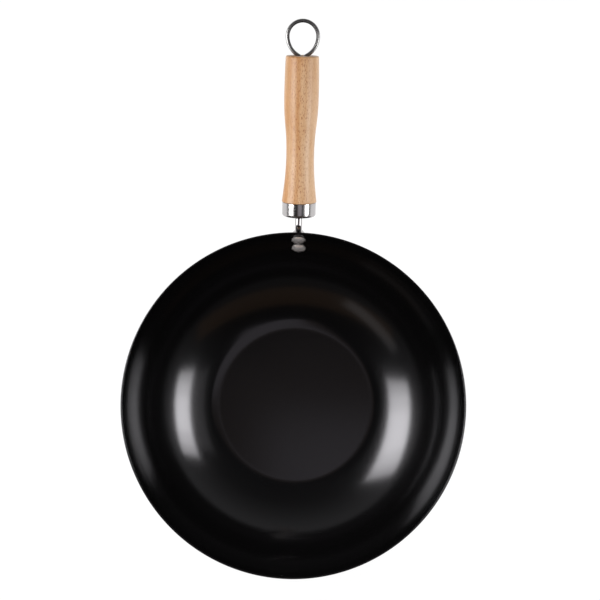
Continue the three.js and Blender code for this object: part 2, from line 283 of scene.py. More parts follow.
class GripSizes(bpy.types.PropertyGroup):
    """Sizes of the turned wooden grip, along it from the ferrule."""

    length: metres("Length", "Length outside the ferrule", 0.1255)
    shoulder_radius: metres("Shoulder radius", "Radius at the ferrule", 0.0151)
    shoulder_round: metres("Shoulder round", "Rounding of the edge at the ferrule", 0.0003)
    waist_radius: metres("Waist radius", "Smallest radius", 0.01205)
    waist_at: metres("Waist at", "Place of the waist", 0.040)
    swell_radius: metres("Swell radius", "Radius at the swell", 0.01485)
    swell_at: metres("Swell at", "Place of the swell", 0.092)
    end_radius: metres("End radius", "Radius at the eye end", 0.0142)
    end_round: metres("End round", "Rounding of the end's edge", 0.0014)
    flare_run: metres("Flare run", "Reach of the flare at the ferrule", 0.014)
    flare_fall: metres("Flare fall", "Drop of the flare over its reach", 0.00175)
    waist_run: metres("Waist run", "Reach of the waist's straight", 0.014)
    swell_run: metres("Swell run", "Reach of the swell's straight", 0.026)
    end_run: metres("End run", "Reach of the taper at the end", 0.009)
    end_fall: metres("End fall", "Drop of the taper at the end", 0.00035)
    counterbore_radius: metres("Counterbore radius", "Radius of the hole for the eye", 0.0061)
    counterbore_depth: metres("Counterbore depth", "Depth of the hole for the eye", 0.026)
    counterbore_chamfer: metres("Counterbore chamfer", "Bevel of the hole's mouth", 0.0009)


class EyeSizes(bpy.types.PropertyGroup):
    """Sizes of the wire loop and of the pieces that hold it."""

    wire_radius: metres("Wire radius", "Radius of the wire", 0.00165)
    loop_radius: metres("Loop radius", "Radius of the loop, at the middle of the wire", 0.013)
    loop_height: metres("Loop height", "Height of the loop above the grip's end", 0.03095)
    leg_spacing: metres("Leg spacing", "Distance between the legs in the sleeve", 0.0039)
    leg_insert: metres("Leg insert", "Length of the legs in the sleeve", 0.011)
    leg_bend_radius: metres("Leg bend radius", "Radius at which the legs spread", 0.0026)
    washer_thickness: metres("Washer thickness", "Thickness of the clamp washer", 0.0012)
    sleeve_length: metres("Sleeve length", "Length of the threaded sleeve", 0.022)


class Finishes(bpy.types.PropertyGroup):
    """Colours of the finishes."""

    coat: colour("Cooking coat", "Black coat inside the bowl", (0.0018, 0.0017, 0.0018))
    coat_sheen: colour("Coat sheen", "Tint of the light that the coat reflects", (0.97, 0.955, 1.0))
    enamel: colour("Outer enamel", "Black enamel outside the bowl", (0.0060, 0.0060, 0.0063))
    plate: colour("Bright plate", "Plated steel", (0.54, 0.52, 0.52))
    rivet: colour("Rivet metal", "Satin rivets", (1.0, 0.945, 0.925))
    eye_plate: colour("Eye plate", "Brushed plate outside the eye", (0.38, 0.375, 0.37))
    # Colour inside the eye: painted shade, a near black that darkens the inner side of the wire
    painted_shade_plate: colour("Dull plate", "Unpolished plate inside the eye", (0.03, 0.029, 0.029))
    zinc: colour("Zinc", "Zinc plated steel", (0.50, 0.51, 0.53))
    wood_pale: colour("Pale wood", "Lighter wood between the rings", (0.655, 0.42, 0.24))
    wood_deep: colour("Deep wood", "Darker wood of the rings", (0.51, 0.245, 0.085))
    wood_fleck: colour("Wood fleck", "Short dark flecks of the grain", (0.30, 0.08, 0.008))
    floor: colour("Floor", "Pale floor", (0.86, 0.86, 0.86))


class StageSettings(bpy.types.PropertyGroup):
    """Camera, lights and floor."""

    camera_place: place("Camera place", "Position of the camera", (0.0335, -0.0036, 1.280))
    camera_lean: degrees("Camera lean", "Lean of the view towards the handle", 4.49)
    camera_swing: degrees("Camera swing", "Lean of the view to the side", 1.44)
    camera_roll: degrees("Camera roll", "Turn of the view about its own line", 1.81)
    camera_lens: amount("Camera lens", "Focal length in millimetres on a 36 mm wide sensor", 82.82)
    light_distance: metres("Light distance", "Distance of the soft boxes and fills from the bowl", 0.6)
    soft_box_radiance: amount("Soft box radiance", "Brightness of the two soft boxes", 10.6)
    strip_radiance: amount("Strip radiance", "Brightness of the overhead strip", 0.38)
    floor_radius: metres("Floor radius", "Radius of the floor", 9.0)
    floor_drop: metres("Floor drop", "Gap between the wok's base and the floor", 0.0002)
    floor_glow: amount("Floor glow", "Share of plain white in the floor as the camera sees it", 0.93)
    floor_white: amount("Floor white", "Brightness of that plain white", 1.05)


class WokSettings(bpy.types.PropertyGroup):
    """All sizes and colours of the wok."""

    bowl: PointerProperty(type=BowlSizes)
    rivets: PointerProperty(type=RivetSizes)
    rod: PointerProperty(type=RodSizes)
    ferrule: PointerProperty(type=FerruleSizes)
    grip: PointerProperty(type=GripSizes)
    eye: PointerProperty(type=EyeSizes)
    finishes: PointerProperty(type=Finishes)
    stage: PointerProperty(type=StageSettings)


class Wall:
    """Arc of the bowl's outer face in the plane of the handle, with slopes measured from level."""

    def __init__(self, wok):
        bowl = wok.bowl
        self.radius = bowl.wall_radius
        self.bend = Vector((bowl.base_flat_radius, bowl.base_bend_radius))
        rim = Vector((bowl.rim_radius, bowl.height))
        to_bend = bowl.wall_radius - bowl.base_bend_radius
        span = rim - self.bend
        along = (to_bend**2 - bowl.wall_radius**2 + span.length_squared) / (2 * span.length)
        across = math.sqrt(to_bend**2 - along**2)
        direction = span.normalized()
        self.centre = self.bend + along * direction + across * Vector((-direction.y, direction.x))
        self.bend_slope = math.atan2(self.bend.x - self.centre.x, self.centre.y - self.bend.y)
        self.rim_slope = math.atan2(rim.x - self.centre.x, self.centre.y - rim.y)
        self.upper_slope = self.rim_slope - wok.rivets.drop / self.radius
        self.lower_slope = self.upper_slope - wok.rivets.pitch / self.radius

    def point(self, slope, outside):
        """Radius and height of a point at a slope, outside the wall's outer face."""
        reach = self.radius + outside
        return self.centre + reach * Vector((math.sin(slope), -math.cos(slope)))


def line_frame(point, slope):
    """Frame in the handle's plane: X across, Y along a slope, Z square to it."""
    return Matrix.Translation((0.0, point[0], point[1])) @ Matrix.Rotation(slope, 4, "X")


def handle_frame(wok):
    """Frame of the handle: origin under the ferrule, Z along the grip."""
    origin = (0.0, wok.bowl.rim_radius + wok.rod.ferrule_reach, wok.bowl.height + wok.rod.ferrule_lift)
    return Matrix.Translation(origin) @ Matrix.Rotation(wok.rod.tilt - QUARTER, 4, "X")


def grip_start(wok):
    """Place of the grip's shoulder along the handle."""
    return wok.ferrule.height + wok.bowl.seat_gap


def grip_end(wok):
    """Place of the grip's far end along the handle."""
    return grip_start(wok) + wok.grip.length


def sleeve_start(wok):
    """Place of the sleeve's inner end along the handle."""
    floor = grip_end(wok) - wok.grip.counterbore_depth
    return floor + wok.eye.washer_thickness + 2 * wok.bowl.seat_gap


def eye_centre(wok):
    """Place of the round eye's centre along the handle."""
    eye = wok.eye
    return grip_end(wok) + eye.loop_height - eye.wire_radius - eye.loop_radius


def cap_sphere(radius, height):
    """Radius of the sphere that a domed cap is part of."""
    return (radius**2 + height**2) / (2 * height)


def shares(steps):
    """Even shares of a stretch, without its start."""
    return [step / steps for step in range(1, steps + 1)]


def eased(share):
    """Share that starts and ends gently."""
    return share * share * (3.0 - 2.0 * share)


class Outline:
    """Half section drawn in the XZ plane with bmesh operators and then turned about Z."""

    def __init__(self, radius, height):
        self.mesh = bmesh.new()
        self.first = self.mesh.verts.new((radius, 0.0, height))
        self.tip = self.first

    def line(self, radius, height):
        """Straight stretch to a point."""
        grown = bmesh.ops.extrude_vert_indiv(self.mesh, verts=[self.tip])
        self.tip = grown["verts"][0]
        self.tip.co = (radius, 0.0, height)

    def arc(self, centre, angle, steps):
        """Arc about a centre; a positive angle turns from the radius towards the height."""
        swept = bmesh.ops.spin(
            self.mesh,
            geom=[self.tip],
            cent=(centre[0], 0.0, centre[1]),
            axis=(0.0, -1.0, 0.0),
            angle=angle,
            steps=steps,
        )
        self.tip = next(item for item in swept["geom_last"] if isinstance(item, bmesh.types.BMVert))

    def curve(self, leave, arrive, end, steps):
        """Bezier stretch with its two handle points."""
        knots = [Vector((radius, 0.0, height)) for radius, height in (leave, arrive, end)]
        for point in interpolate_bezier(self.tip.co.copy(), *knots, steps + 1)[1:]:
            self.line(point.x, point.z)

    def close(self):
        """Joins the last point to the first."""
        self.mesh.edges.new((self.tip, self.first))

    def turned(self, facets):
        """Turns the outline about Z and gives the mesh."""
        bmesh.ops.spin(
            self.mesh,
            geom=self.mesh.verts[:] + self.mesh.edges[:],
            cent=(0.0, 0.0, 0.0),
            axis=(0.0, 0.0, 1.0),
            angle=2 * math.pi,
            steps=facets,
            use_merge=True,
        )
        return self.mesh


class Wire:
    """Round wire, pushed straight and bent in its own plane like wire in a bending tool."""

    def __init__(self, radius, facets, start):
        self.mesh = bmesh.new()
        ring = bmesh.ops.create_circle(
            self.mesh, cap_ends=True, radius=radius, segments=facets, matrix=Matrix.Translation(start)
        )
        self.verts = ring["verts"]
        self.edges = list({edge for vert in self.verts for edge in vert.link_edges})

    def keep_end(self, grown):
        """Takes the newest ring as the wire's end."""
        self.verts = [item for item in grown if isinstance(item, bmesh.types.BMVert)]
        ring = set(self.verts)
        edges = [item for item in grown if isinstance(item, bmesh.types.BMEdge)]
        self.edges = [edge for edge in edges if ring.issuperset(edge.verts)]

    def push(self, offset):
        """Straight stretch."""
        grown = bmesh.ops.extrude_edge_only(self.mesh, edges=self.edges)["geom"]
        self.keep_end(grown)
        bmesh.ops.translate(self.mesh, vec=offset, verts=self.verts)

    def bend(self, centre, angle, steps):
        """Bend about a centre in the XZ plane; a positive angle turns from X towards Z."""
        swept = bmesh.ops.spin(
            self.mesh,
            geom=self.verts + self.edges,
            cent=centre,
            axis=(0.0, -1.0, 0.0),
            angle=angle,
            steps=steps,
        )
        self.keep_end(swept["geom_last"])

    def cut(self):
        """Closes the square cut end and gives the mesh."""
        bmesh.ops.contextual_create(self.mesh, geom=self.edges)
        return self.mesh


def section_ring(mesh, frame_matrix, half_width, half_thickness, squareness):
    """One cross section of a forged bar: round at squareness 0 and nearly a rectangle at 1."""
    ring = bmesh.ops.create_circle(mesh, cap_ends=False, radius=1.0, segments=WIRE_FACETS)["verts"]
    power = 1.0 - CORNER_FILL * squareness
    for vert in ring:
        across = math.copysign(abs(vert.co.x) ** power, vert.co.x)
        up = math.copysign(abs(vert.co.y) ** power, vert.co.y)
        vert.co = frame_matrix @ Vector((half_width * across, 0.0, half_thickness * up))
    return list({edge for vert in ring for edge in vert.link_edges})


def forged_bar(sections):
    """Bar through cross sections that follow one another."""
    mesh = bmesh.new()
    rings = [section_ring(mesh, *section) for section in sections]
    for before, after in zip(rings, rings[1:]):
        bmesh.ops.bridge_loops(mesh, edges=before + after)
    bmesh.ops.contextual_create(mesh, geom=rings[0])
    bmesh.ops.contextual_create(mesh, geom=rings[-1])
    return mesh


def settle_order(mesh):
    """Puts edges and faces in the order of their points, because a spin leaves them in no fixed order."""
    mesh.verts.index_update()
    count = len(mesh.verts)

    def rank(item):
        """One number from the three lowest points of an edge or a face."""
        number = 0
        for index in sorted(vert.index for vert in item.verts)[:3]:
            number = number * count + index
        return number

    mesh.edges.sort(key=rank)
    mesh.faces.sort(key=rank)


def finish_piece(context, name, mesh, materials, matrix=None):
    """Welds, shades and links a piece, with its place in its mesh."""
    if matrix is not None:
        bmesh.ops.transform(mesh, matrix=matrix, verts=mesh.verts)
    bmesh.ops.remove_doubles(mesh, verts=mesh.verts, dist=WELD)
    bmesh.ops.recalc_face_normals(mesh, faces=mesh.faces)
    settle_order(mesh)
    for face in mesh.faces:
        face.smooth = True
    for edge in mesh.edges:
        edge.smooth = not edge.is_manifold or edge.calc_face_angle() < SHARP_ANGLE
    data = bpy.data.meshes.new(name)
    mesh.to_mesh(data)
    mesh.free()
    for material in materials:
        data.materials.append(material)
    piece = bpy.data.objects.new(name, data)
    context.scene.collection.objects.link(piece)
    return piece


def add(tree, kind, inputs=None, **settings):
    """Adds a shader node, sets its options, and sets or links its inputs."""
    node = tree.nodes.new("ShaderNode" + kind)
    for name, value in settings.items():
        setattr(node, name, value)
    for name, value in (inputs or {}).items():
        if isinstance(value, bpy.types.NodeSocket):
            tree.links.new(value, node.inputs[name])
        else:
            node.inputs[name].default_value = value
    return node


def maths(tree, operation, *values):
    """Result of one operation on numbers."""
    return add(tree, "Math", dict(enumerate(values)), operation=operation).outputs["Value"]


def measure(tree, operation, *vectors):
    """Length of a vector, or distance between two."""
    return add(tree, "VectorMath", dict(enumerate(vectors)), operation=operation).outputs["Value"]


def flattened(tree, vector, kept_axes):
    """Vector with only some of its axes kept."""
    return add(tree, "VectorMath", {0: vector, 1: kept_axes}, operation="MULTIPLY").outputs["Vector"]


def stretched(tree, vector, scale):
    """Vector scaled along each axis, for a pattern with a grain."""
    return add(tree, "Mapping", {"Vector": vector, "Scale": scale}).outputs["Vector"]


def remap(tree, value, low, high, to_low=0.0, to_high=1.0):
    """Value moved from one range to another, and held inside it."""
    inputs = {"Value": value, "From Min": low, "From Max": high, "To Min": to_low, "To Max": to_high}
    return add(tree, "MapRange", inputs).outputs["Result"]


def noise(tree, vector, scale=1.0, detail=2.0, roughness=0.5):
    """Soft noise."""
    inputs = {"Vector": vector, "Scale": scale, "Detail": detail, "Roughness": roughness}
    return add(tree, "TexNoise", inputs).outputs["Fac"]


def mix(tree, share, first, second):
    """Colour between two others."""
    return add(tree, "MixRGB", {"Fac": share, "Color1": first, "Color2": second}).outputs["Color"]


def opaque(value, gain=1.0):
    """Colour with full alpha for a node socket, made lighter or darker by a gain."""
    return (*(gain * channel for channel in value), 1.0)


def new_group(name, inputs, outputs):
    """Empty shader node group with named sockets."""
    tree = bpy.data.node_groups.new(name, "ShaderNodeTree")
    for socket_name, kind in inputs:
        tree.interface.new_socket(socket_name, in_out="INPUT", socket_type="NodeSocket" + kind)
    for socket_name, kind in outputs:
        tree.interface.new_socket(socket_name, in_out="OUTPUT", socket_type="NodeSocket" + kind)
    return tree, tree.nodes.new("NodeGroupInput").outputs, tree.nodes.new("NodeGroupOutput").inputs


def surface_marks():
    """Group: roughness that wanders in soft patches, and a fine height."""
    existing = bpy.data.node_groups.get("surface_marks")
    if existing:
        return existing
    numbers = ("Patch Scale", "Fine Scale", "Lowest", "Highest")
    tree, given, result = new_group(
        "surface_marks",
        [("Vector", "Vector"), *((name, "Float") for name in numbers)],
        [("Roughness", "Float"), ("Height", "Float")],
    )
    patches = noise(tree, given["Vector"], scale=given["Patch Scale"], detail=3.0)
    fine = noise(tree, given["Vector"], scale=given["Fine Scale"], detail=2.0)
    level = remap(tree, patches, NOISE_LOW, NOISE_HIGH, to_low=given["Lowest"], to_high=given["Highest"])
    tree.links.new(level, result["Roughness"])
    tree.links.new(fine, result["Height"])
    return tree


def place_marks(tree, vector, patch_scale, fine_scale, lowest, highest):
    """Places the surface marks group in a material."""
    numbers = {"Patch Scale": patch_scale, "Fine Scale": fine_scale, "Lowest": lowest, "Highest": highest}
    return add(tree, "Group", {"Vector": vector, **numbers}, node_tree=surface_marks()).outputs


def new_material(name, **constants):
    """Material with a Principled shader whose constant inputs are set on it."""
    material = bpy.data.materials.new(name)
    material.use_nodes = True
    tree = material.node_tree
    shader = next(node for node in tree.nodes if node.type == "BSDF_PRINCIPLED")
    for socket_name, value in constants.items():
        shader.inputs[socket_name.replace("_", " ")].default_value = value
    return material, tree, shader


def object_place(tree):
    """Object coordinates of a point on the wok."""
    return add(tree, "TexCoord").outputs["Object"]


def feed(tree, shader, colour_socket, roughness_socket):
    """Feeds a colour and a roughness to the shader."""
    tree.links.new(colour_socket, shader.inputs["Base Color"])
    tree.links.new(roughness_socket, shader.inputs["Roughness"])


def link_bump(tree, shader, height, strength, distance):
    """Feeds a height to the shader's normal."""
    bump = add(tree, "Bump", {"Height": height, "Strength": strength, "Distance": distance})
    tree.links.new(bump.outputs["Normal"], shader.inputs["Normal"])


def cooking_coat(wok):
    """Glossy black coat with a soft orange peel and faint rings from spraying."""
    coat = wok.finishes.coat
    sheen = opaque(wok.finishes.coat_sheen)
    material, tree, shader = new_material("cooking_coat", IOR=1.62, Specular_Tint=sheen)
    here = object_place(tree)
    marks = place_marks(tree, here, patch_scale=14.0, fine_scale=620.0, lowest=0.14, highest=0.165)
    cloud = noise(tree, here, scale=9.0, detail=4.0)
    tint = mix(tree, cloud, opaque(coat), opaque(coat, gain=1.35))
    reach = measure(tree, "LENGTH", flattened(tree, here, ROUND_AXES))
    ripple = maths(tree, "SINE", maths(tree, "MULTIPLY", reach, RIPPLE_RATE))
    height = maths(tree, "MULTIPLY_ADD", ripple, RIPPLE_PART, marks["Height"])
    feed(tree, shader, tint, marks["Roughness"])
    link_bump(tree, shader, height, strength=0.02, distance=0.0003)
    return material


def outer_enamel(wok):
    """Satin black enamel with a fine pebble."""
    enamel = wok.finishes.enamel
    material, tree, shader = new_material("outer_enamel", IOR=1.5)
    here = object_place(tree)
    marks = place_marks(tree, here, patch_scale=22.0, fine_scale=1100.0, lowest=0.36, highest=0.48)
    cloud = noise(tree, here, scale=16.0, detail=5.0)
    tint = mix(tree, cloud, opaque(enamel), opaque(enamel, gain=1.5))
    feed(tree, shader, tint, marks["Roughness"])
    link_bump(tree, shader, marks["Height"], strength=0.12, distance=0.0003)
    return material


def shared_metal(wok, name):
    """One of the wok's metals, with patches of polish and a fine surface, made once."""
    existing = bpy.data.materials.get(name)
    if existing:
        return existing
    finish = METAL_FINISHES[name]
    value = getattr(wok.finishes, finish.colour)
    material, tree, shader = new_material(name, Metallic=finish.metallic)
    here = object_place(tree)
    marks = place_marks(tree, here, finish.patch_scale, finish.fine_scale, finish.lowest, finish.highest)
    # Painted shade: the low spots of the fine relief are a little darker
    tint = mix(tree, marks["Height"], opaque(value, gain=METAL_PAINTED_SHADE), opaque(value))
    feed(tree, shader, tint, marks["Roughness"])
    link_bump(tree, shader, marks["Height"], strength=finish.bump, distance=METAL_RELIEF)
    return material


def handle_coordinates(tree, wok, here):
    """Object coordinates turned into the handle's frame, with Z along the grip."""
    origin = handle_frame(wok).translation
    turn = (wok.rod.tilt - QUARTER, 0.0, 0.0)
    inputs = {"Vector": here, "Location": origin, "Rotation": turn}
    return add(tree, "Mapping", inputs, vector_type="TEXTURE").outputs["Vector"]


def eye_plate(wok):
    """Plate that is brushed outside the eye, with painted shade on the inner side of the wire: a near black
    colour there and a rougher surface.
    """
    eye = wok.eye
    finishes = wok.finishes
    material, tree, shader = new_material("eye_plate", Metallic=1.0)
    here = object_place(tree)
    marks = place_marks(tree, here, patch_scale=90.0, fine_scale=2500.0, lowest=0.27, highest=0.32)
    flat = flattened(tree, handle_coordinates(tree, wok, here), LOOP_AXES)
    reach = measure(tree, "DISTANCE", flat, (0.0, 0.0, eye_centre(wok)))
    near = eye.loop_radius - eye.wire_radius / 2
    # Painted shade: the inner side of the wire turns near black and rougher
    inside = remap(tree, reach, low=near, high=eye.loop_radius, to_low=1.0, to_high=0.0)
    tint = mix(tree, inside, opaque(finishes.eye_plate), opaque(finishes.painted_shade_plate))
    rough = remap(tree, inside, low=0.0, high=1.0, to_low=marks["Roughness"], to_high=DULL_ROUGHNESS)
    feed(tree, shader, tint, rough)
    return material


def beech_flecks(tree, along, drift):
    """Mask of the short dark flecks: pores and ray dashes, with painted sheen that fades them towards the
    sides of the grip.
    """
    cell = add(tree, "TexVoronoi", {"Vector": stretched(tree, along, PORES), "Scale": 1.0}).outputs
    draw = add(tree, "SeparateColor", {"Color": cell["Color"]}).outputs["Red"]
    rarity = remap(tree, drift, low=0.35, high=0.65, to_low=0.2, to_high=0.7)
    chosen = remap(tree, draw, low=rarity, high=1.0)
    spot = remap(tree, cell["Distance"], low=0.15, high=0.5, to_low=1.0, to_high=0.0)
    pore = maths(tree, "MULTIPLY", chosen, spot)
    ray = noise(tree, stretched(tree, along, RAY_DASHES), detail=2.0, roughness=0.6)
    dash = remap(tree, ray, low=0.54, high=0.7, to_high=0.9)
    # Painted sheen: the flecks grow faint on the left and right sides of the grip, where the soft boxes'
    # gloss falls
    across = add(tree, "SeparateXYZ", {"Vector": along}).outputs["X"]
    reach = measure(tree, "LENGTH", flattened(tree, along, ROUND_AXES))
    aside = maths(tree, "ABSOLUTE", maths(tree, "DIVIDE", across, reach))
    face = remap(tree, aside, low=0.25, high=0.6, to_low=1.0, to_high=0.35)
    return maths(tree, "MULTIPLY", maths(tree, "MAXIMUM", pore, dash), face)


def lacquered_beech(wok):
    """Pale beech along the grip: faint rings, fibres, short dark flecks and a thin clear lacquer."""
    finishes = wok.finishes
    material, tree, shader = new_material("lacquered_beech", Coat_Weight=0.36, Coat_Roughness=0.36)
    along = handle_coordinates(tree, wok, object_place(tree))
    drift = noise(tree, stretched(tree, along, RING_DRIFT), detail=3.0)
    band = noise(tree, stretched(tree, along, RING_BANDS), detail=2.0)
    fibre = noise(tree, stretched(tree, along, FIBRES), detail=3.0)
    rings = maths(tree, "MULTIPLY_ADD", band, BAND_PART, drift)
    grain = maths(tree, "MULTIPLY_ADD", fibre, FIBRE_PART, rings)
    paleness = remap(tree, grain, low=0.82, high=1.16)
    wood = mix(tree, paleness, opaque(finishes.wood_deep), opaque(finishes.wood_pale))
    fleck = beech_flecks(tree, along, drift)
    tint = mix(tree, fleck, wood, opaque(finishes.wood_fleck))
    rough = remap(tree, fibre, NOISE_LOW, NOISE_HIGH, to_low=0.42, to_high=0.58)
    height = maths(tree, "MULTIPLY_ADD", fleck, -FLECK_DEPTH, fibre)
    feed(tree, shader, tint, rough)
    link_bump(tree, shader, height, strength=0.08, distance=0.0002)
    return material


class WOK_OT_bowl(bpy.types.Operator):
    """Make the pressed bowl with its coat inside and enamel outside"""

    bl_idname = "wok.bowl"
    bl_label = "Bowl"

    def execute(self, context):
        wok = context.scene.wok
        bowl = wok.bowl
        wall = Wall(wok)
        rise = wall.rim_slope - wall.bend_slope
        edge = bowl.steel / 2
        # A narrow ring beside the bend keeps the shading of the flats level
        flat = bowl.base_flat_radius - bowl.steel
        pen = Outline(0.0, 0.0)
        pen.line(flat, 0.0)
        pen.line(bowl.base_flat_radius, 0.0)
        pen.arc(wall.bend, wall.bend_slope, CORNER_STEPS)
        pen.arc(wall.centre, rise, WALL_STEPS)
        pen.arc(wall.point(wall.rim_slope, -edge), math.pi, CORNER_STEPS)
        pen.arc(wall.centre, -rise, WALL_STEPS)
        pen.arc(wall.bend, -wall.bend_slope, CORNER_STEPS)
        pen.line(flat, bowl.steel)
        pen.line(0.0, bowl.steel)
        materials = [cooking_coat(wok), outer_enamel(wok)]
        piece = finish_piece(context, "coated_bowl", pen.turned(BOWL_FACETS), materials)
        # Faces that look up take the coat, and those that look down the enamel
        for face in piece.data.polygons:
            face.material_index = 0 if face.normal.z >= 0.0 else 1
        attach(piece, "pan")
        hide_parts("bowl")
        return {"FINISHED"}


class WOK_OT_rivets(bpy.types.Operator):
    """Make the two handle rivets"""

    bl_idname = "wok.rivets"
    bl_label = "Rivets"

    def execute(self, context):
        wok = context.scene.wok
        wall = Wall(wok)
        for name, node, slope in (
            ("upper_rivet_head", "upper_rivet", wall.upper_slope),
            ("lower_rivet_head", "lower_rivet", wall.lower_slope),
        ):
            frame_matrix = line_frame(wall.point(slope, 0.0), slope)
            mesh = self.rivet(wok)
            piece = finish_piece(context, name, mesh, [shared_metal(wok, "satin_rivet")], frame_matrix)
            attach(piece, "pan")
            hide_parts(node)
        return {"FINISHED"}

    def rivet(self, wok):
        """Rivet with Z into the bowl and its origin on the wall's outer face."""
        rivets = wok.rivets
        gap = wok.bowl.seat_gap
        hollow_rise = rivets.head_radius**2 / (2 * (wok.bowl.wall_radius - wok.bowl.steel))
        head_under = wok.bowl.steel + hollow_rise + gap
        head_top = head_under + rivets.head_height
        brim = rivets.head_radius - rivets.head_edge
        dome_sphere = cap_sphere(rivets.head_radius, rivets.head_height - rivets.head_edge)
        dome_angle = math.asin(rivets.head_radius / dome_sphere)
        tail_face = -(wok.rod.paddle_thickness + 2 * gap)
        tail_foot = tail_face - rivets.tail_height
        tail_sphere = cap_sphere(rivets.tail_radius, rivets.tail_height)
        tail_angle = math.asin(rivets.tail_radius / tail_sphere)
        pen = Outline(0.0, tail_foot)
        pen.arc((0.0, tail_foot + tail_sphere), tail_angle, 2 * CORNER_STEPS)
        pen.line(rivets.shank_radius, tail_face)
        pen.line(rivets.shank_radius, head_under)
        pen.line(brim, head_under)
        pen.arc((brim, head_under + rivets.head_edge), QUARTER, CORNER_STEPS)
        pen.arc((0.0, head_top - dome_sphere), dome_angle, CURVE_STEPS)
        return pen.turned(SMALL_FACETS)


class WOK_OT_rod(bpy.types.Operator):
    """Make the handle rod with its forged paddle, bend and collar"""

    bl_idname = "wok.rod"
    bl_label = "Handle rod"

    def execute(self, context):
        wok = context.scene.wok
        mesh = forged_bar([*self.paddle(wok), *self.bend(wok), *self.shank(wok)])
        piece = finish_piece(context, "forged_rod", mesh, [shared_metal(wok, "bright_plate")])
        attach(piece, "pan")
        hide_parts("handle_rod")
        return {"FINISHED"}

    def leave_slope(self, wok):
        """Slope at which the rod leaves the wall so that its bend ends on the handle line."""
        rod = wok.rod
        wall = Wall(wok)
        origin = handle_frame(wok).translation
        out = origin.y - wall.centre.x
        down = wall.centre.y - origin.z
        offset = out * math.sin(rod.tilt) + down * math.cos(rod.tilt)
        reach = wall.radius + wok.bowl.seat_gap + rod.radius + rod.bend_radius
        return rod.tilt + math.acos((rod.bend_radius + offset) / reach)

    def paddle(self, wok):
        """Sections of the flattened end, from its round foot up to the round rod."""
        rod = wok.rod
        wall = Wall(wok)
        gap = wok.bowl.seat_gap
        thin = rod.paddle_thickness / 2
        leave = self.leave_slope(wok)

        def section(slope, half_width, half_thickness, squareness):
            """One section that lies on the wall."""
            point = wall.point(slope, gap + half_thickness)
            return line_frame(point, slope), half_width, half_thickness, squareness

        sections = []
        for share in shares(CURVE_STEPS):
            angle = QUARTER * share
            below = rod.paddle_half_width * math.cos(angle) / wall.radius
            half_width = rod.paddle_half_width * math.sin(angle)
            edge = FOOT_EDGE + (1.0 - FOOT_EDGE) * math.sin(angle)
            sections.append(section(wall.lower_slope - below, half_width, thin * edge, 1.0))
        for share in shares(CURVE_STEPS):
            slope = wall.upper_slope + (leave - wall.upper_slope) * share
            ease = eased(share)
            half_width = rod.paddle_half_width + (rod.radius - rod.paddle_half_width) * ease
            half_thickness = thin + (rod.radius - thin) * ease**2
            sections.append(section(slope, half_width, half_thickness, 1.0 - ease))
        return sections

    def bend(self, wok):
        """Sections of the round bend behind the rim."""
        rod = wok.rod
        wall = Wall(wok)
        leave = self.leave_slope(wok)
        centre = wall.point(leave, wok.bowl.seat_gap + rod.radius + rod.bend_radius)
        sections = []
        for share in shares(CURVE_STEPS):
            slope = leave + (rod.tilt - leave) * share
            point = centre + rod.bend_radius * Vector((-math.sin(slope), math.cos(slope)))
            sections.append((line_frame(point, slope), rod.radius, rod.radius, 0.0))
        return sections

    def shank(self, wok):
        """Sections of the collar and of the straight rod inside the grip."""
        rod = wok.rod
        origin = handle_frame(wok).translation
        collar_top = -wok.bowl.seat_gap
        collar_foot = collar_top - rod.collar_height
        rounding = rod.collar_height / 4
        thread_start = sleeve_start(wok)
        thread_end = thread_start + rod.thread_length
        stations = (
            (collar_foot, rod.radius),
            (collar_foot, rod.collar_radius - rounding),
            (collar_foot + rounding, rod.collar_radius),
            (collar_top, rod.collar_radius),
            (collar_top, rod.radius),
            (thread_start, rod.radius),
            (thread_start, rod.thread_radius),
            (thread_end, rod.thread_radius),
        )
        sections = []
        for along, radius in stations:
            point = (origin.y + along * math.cos(rod.tilt), origin.z + along * math.sin(rod.tilt))
            sections.append((line_frame(point, rod.tilt), radius, radius, 0.0))
        return sections


class WOK_OT_ferrule(bpy.types.Operator):
    """Make the drawn steel ferrule"""

    bl_idname = "wok.ferrule"
    bl_label = "Ferrule"

    def execute(self, context):
        wok = context.scene.wok
        ferrule = wok.ferrule
        bore = wok.rod.radius + wok.bowl.seat_gap
        corner = (ferrule.radius - ferrule.corner, ferrule.corner)
        pen = Outline(bore, 0.0)
        pen.line(ferrule.radius - ferrule.corner, 0.0)
        pen.arc(corner, QUARTER, 2 * CORNER_STEPS)
        pen.line(ferrule.radius, ferrule.height - ferrule.lip)
        pen.arc((ferrule.radius - ferrule.lip, ferrule.height - ferrule.lip), QUARTER, CORNER_STEPS)
        pen.line(ferrule.radius - ferrule.sheet, ferrule.height)
        pen.line(ferrule.radius - ferrule.sheet, ferrule.corner)
        pen.arc(corner, -QUARTER, CORNER_STEPS)
        pen.line(bore, ferrule.sheet)
        pen.close()
        mesh = pen.turned(TURNED_FACETS)
        plate = shared_metal(wok, "drawn_plate")
        piece = finish_piece(context, "ferrule_cup", mesh, [plate], handle_frame(wok))
        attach(piece, "pan")
        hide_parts("ferrule")
        return {"FINISHED"}


